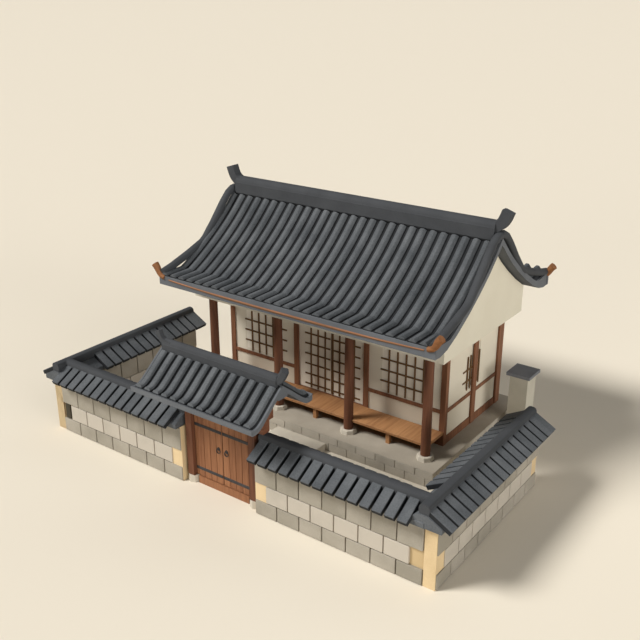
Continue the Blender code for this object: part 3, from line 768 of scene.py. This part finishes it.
def gateLeaf(hand, tag):
    low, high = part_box("gate_leaf_%s" % tag)
    bm = startMesh()
    dice = random.Random("leaf" + tag)
    meeting, hinge = (high.x, low.x) if hand < 0 else (low.x, high.x)
    for i in range(5):
        near = meeting + hand * i * gate["plank"]
        far = meeting + hand * (i + 1) * gate["plank"] if i < 4 else hinge
        a, b = sorted((near, far))
        addBox(bm, (a + 0.004, low.y, low.z), (b - 0.004, high.y, high.z), 0.006, dice.uniform(-0.25, 0.25))
    addBox(bm, (low.x + 0.004, low.y + 0.012, low.z + 0.004), (high.x - 0.004, high.y - 0.012, high.z - 0.004), 0.0,
           -0.5)
    newPiece("gate_planks_%s" % tag, bm, gateWood, "gate_leaf_%s_body" % tag,
             replaces=["gate_leaf_%s" % tag])
    bm = startMesh()
    for z in gate["strapZ"]:
        addBox(bm, (low.x + 0.01, low.y - 0.008, z - gate["strapHalf"]),
               (high.x - 0.01, low.y + 0.004, z + gate["strapHalf"]), 0.003)
        for i in range(9):
            x = low.x + 0.05 + i * (high.x - low.x - 0.1) / 8
            m = Matrix.Translation((x, low.y - 0.008, z)) @ Matrix.Diagonal((1.0, 0.6, 1.0, 1.0))
            bmesh.ops.create_icosphere(bm, subdivisions=1, radius=0.014, matrix=m)
    # ring pull on a round plate
    x, z = hand * gate["ring"][0], gate["ring"][1]
    turn = Matrix.Rotation(pi / 2, 4, "X")
    bmesh.ops.create_cone(bm, cap_ends=True, segments=16, radius1=0.045, radius2=0.040, depth=0.012,
                          matrix=Matrix.Translation((x, low.y - 0.004, z + 0.05)) @ turn)
    size = gate["ringSize"]
    around = [placeAt(Vector((x + size * sin(2 * pi * k / 16), low.y - 0.016, z + size * cos(2 * pi * k / 16))),
                      Vector((0.0, 1.0, 0.0)), Vector((sin(2 * pi * k / 16), 0.0, cos(2 * pi * k / 16))))
              for k in range(17)]
    sweep(bm, disc(0.010, 6), around)
    newPiece("gate_straps_%s" % tag, bm, iron, "gate_leaf_%s_body" % tag)


for hand, tag in ((-1, "left"), (1, "right")):
    gateLeaf(hand, tag)
print("gate leaves made")


# Finishes of the CAD nodes that stay
finishes = {
    "edgeClay": ["front_roof", "rear_roof", "gate_roof", "left_wall_cap", "right_wall_cap"],
    "capSlate": ["chimney_cap"],
    "columnWood": ["front_column_1", "front_column_2", "front_column_3", "front_column_4", "gate_post_left",
                   "gate_post_right"],
    "postWood": ["front_frame", "rear_frame", "left_frame", "right_frame"],
    "beamWoodX": ["gate_lintel", "gate_roof_beam"],
    "gateWood": ["gate_threshold"],
    "stripWood": ["eave_board_front", "eave_board_rear"],
    "deckWood": ["porch_deck", "room_floor"],
    "plaster": ["front_left_wall", "front_right_wall", "left_wall", "right_wall", "rear_wall", "left_window",
                "right_window"],
    "gablePlaster": ["left_gable", "right_gable"],
    "soffitPlaster": ["roof_base"],
    "paperPane": ["front_left_window", "front_right_window", "house_door_left", "house_door_right"],
    "chimneyPlaster": ["chimney_shaft"],
    "paleStone": ["gate_stone_left", "gate_stone_right"],
}
for material, nodes in finishes.items():
    for node in nodes:
        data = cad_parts[node].data
        data.materials.clear()
        data.materials.append(bpy.data.materials[material])
print("nodes finished")


# Camera, floor and light
view = {"place": (12.024, -16.415, 11.265), "turn": (68.05, 0.0, 36.16), "lens": 50.0}
cameraData = bpy.data.cameras.new("camera")
cameraData.lens = view["lens"]
cameraData.sensor_width = 36.0
camera = bpy.data.objects.new("camera", cameraData)
camera.location = view["place"]
camera.rotation_euler = [radians(a) for a in view["turn"]]
bpy.context.scene.collection.objects.link(camera)
bpy.context.scene.camera = camera

studio = {"floor": (226, 217, 200), "backdrop": (236, 226, 206), "size": 1500.0, "warm": (1.0, 0.985, 0.96)}
lamps = {
    # direction towards the lamp, strength, angular size in degrees
    "key": ((-0.72, -0.70, 1.0), 3.6, 20.0),
    "rim": ((0.36, 0.90, 0.62), 0.38, 45.0),
    "back": ((-0.50, 0.87, 1.43), 0.28, 45.0),
    "rightFill": ((1.0, -0.12, 0.12), 1.35, 30.0),
    "highFill": ((0.93, -0.25, 0.62), 0.58, 40.0),
    "cornerFill": ((0.766, -0.643, 0.09), 0.55, 25.0),
    "frontFill": ((0.0, -1.0, 0.09), 0.66, 25.0),
}
bm = bmesh.new()
bmesh.ops.create_grid(bm, x_segments=1, y_segments=1, size=studio["size"])
mesh = bpy.data.meshes.new("floor")
bm.to_mesh(mesh)
bm.free()
floor = bpy.data.objects.new("floor", mesh)
bpy.context.scene.collection.objects.link(floor)
mat, tree, shader = newMaterial("floorPaper", 0.9)
shader.inputs["Base Color"].default_value = toLinear(*studio["floor"])
mesh.materials.append(mat)

# the backdrop above the floor's far edge is pale, and gives no light of its own
world = bpy.data.worlds.new("world")
bpy.context.scene.world = world
world.use_nodes = True
backdrop = world.node_tree.nodes["Background"]
backdrop.inputs["Color"].default_value = toLinear(*studio["backdrop"])
path = addNode(world.node_tree, "ShaderNodeLightPath")
world.node_tree.links.new(path.outputs["Is Camera Ray"], backdrop.inputs["Strength"])

for name, (toward, power, size) in lamps.items():
    lamp = bpy.data.lights.new(name, "SUN")
    lamp.energy = power
    lamp.angle = radians(size)
    lamp.color = studio["warm"]
    lampObject = bpy.data.objects.new(name, lamp)
    lampObject.rotation_euler = Vector(toward).to_track_quat("Z", "Y").to_euler()
    bpy.context.scene.collection.objects.link(lampObject)
bpy.context.scene.view_settings.view_transform = "Standard"
print("camera and light placed")
